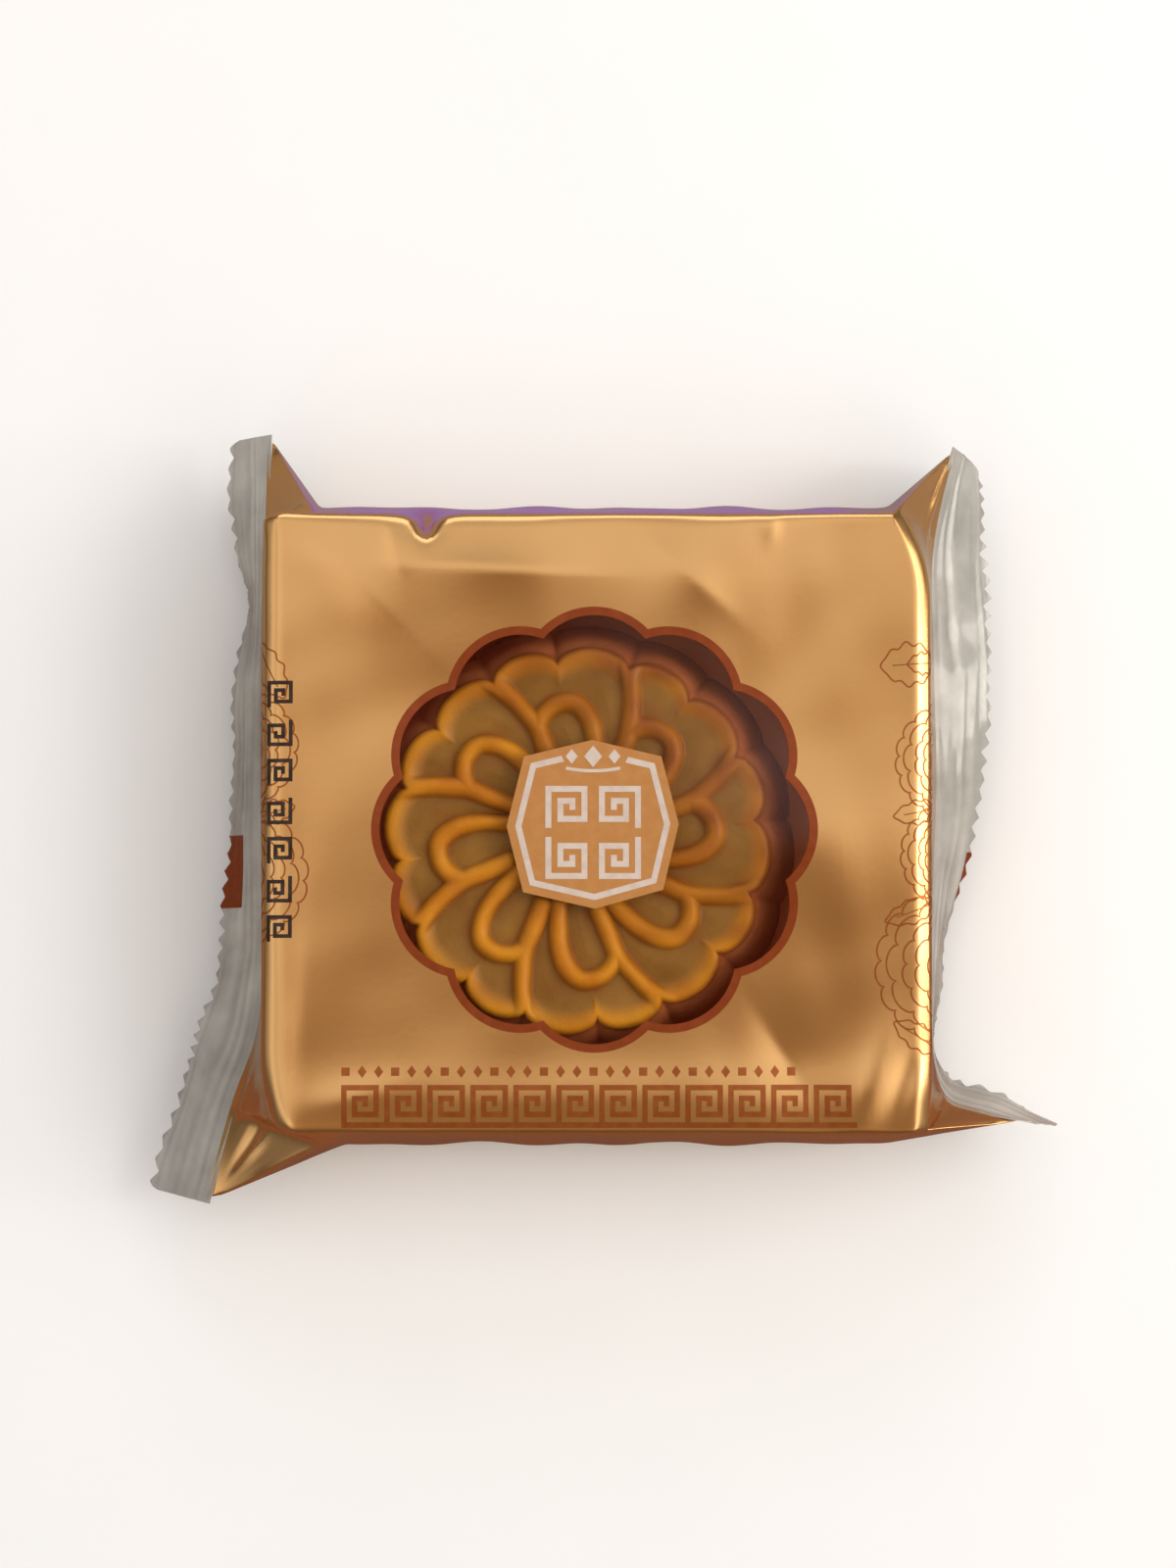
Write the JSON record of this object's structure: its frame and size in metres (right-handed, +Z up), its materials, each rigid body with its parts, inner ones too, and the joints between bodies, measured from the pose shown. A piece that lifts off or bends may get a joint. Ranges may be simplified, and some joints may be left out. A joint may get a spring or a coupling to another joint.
{
  "type": "wrapped mooncake",
  "caption": "Single moulded mooncake in a gold flow-wrap pouch with a clear scalloped window and crimped, zig-zag end seals, lying face up.",
  "frame": {"origin": "under the middle of the pack's body, on the flat of the folded back seam that it lies on", "axes": "+X runs from one end seal to the other, +Y across the pack, +Z up out of the printed face"},
  "size_m": [0.1143, 0.0962, 0.0235],
  "materials": {
    "gold_film": "satin gold metallised film",
    "clear_film": "thin clear glossy plastic film",
    "crust": "egg-glazed baked crust, slightly oily",
    "print": "brown, tan and white ink printed on the film"
  },
  "bodies": {
    "root": {"wrapper": "gold_film", "mooncake": "crust", "window": "clear_film"}
  },
  "joints": []
}
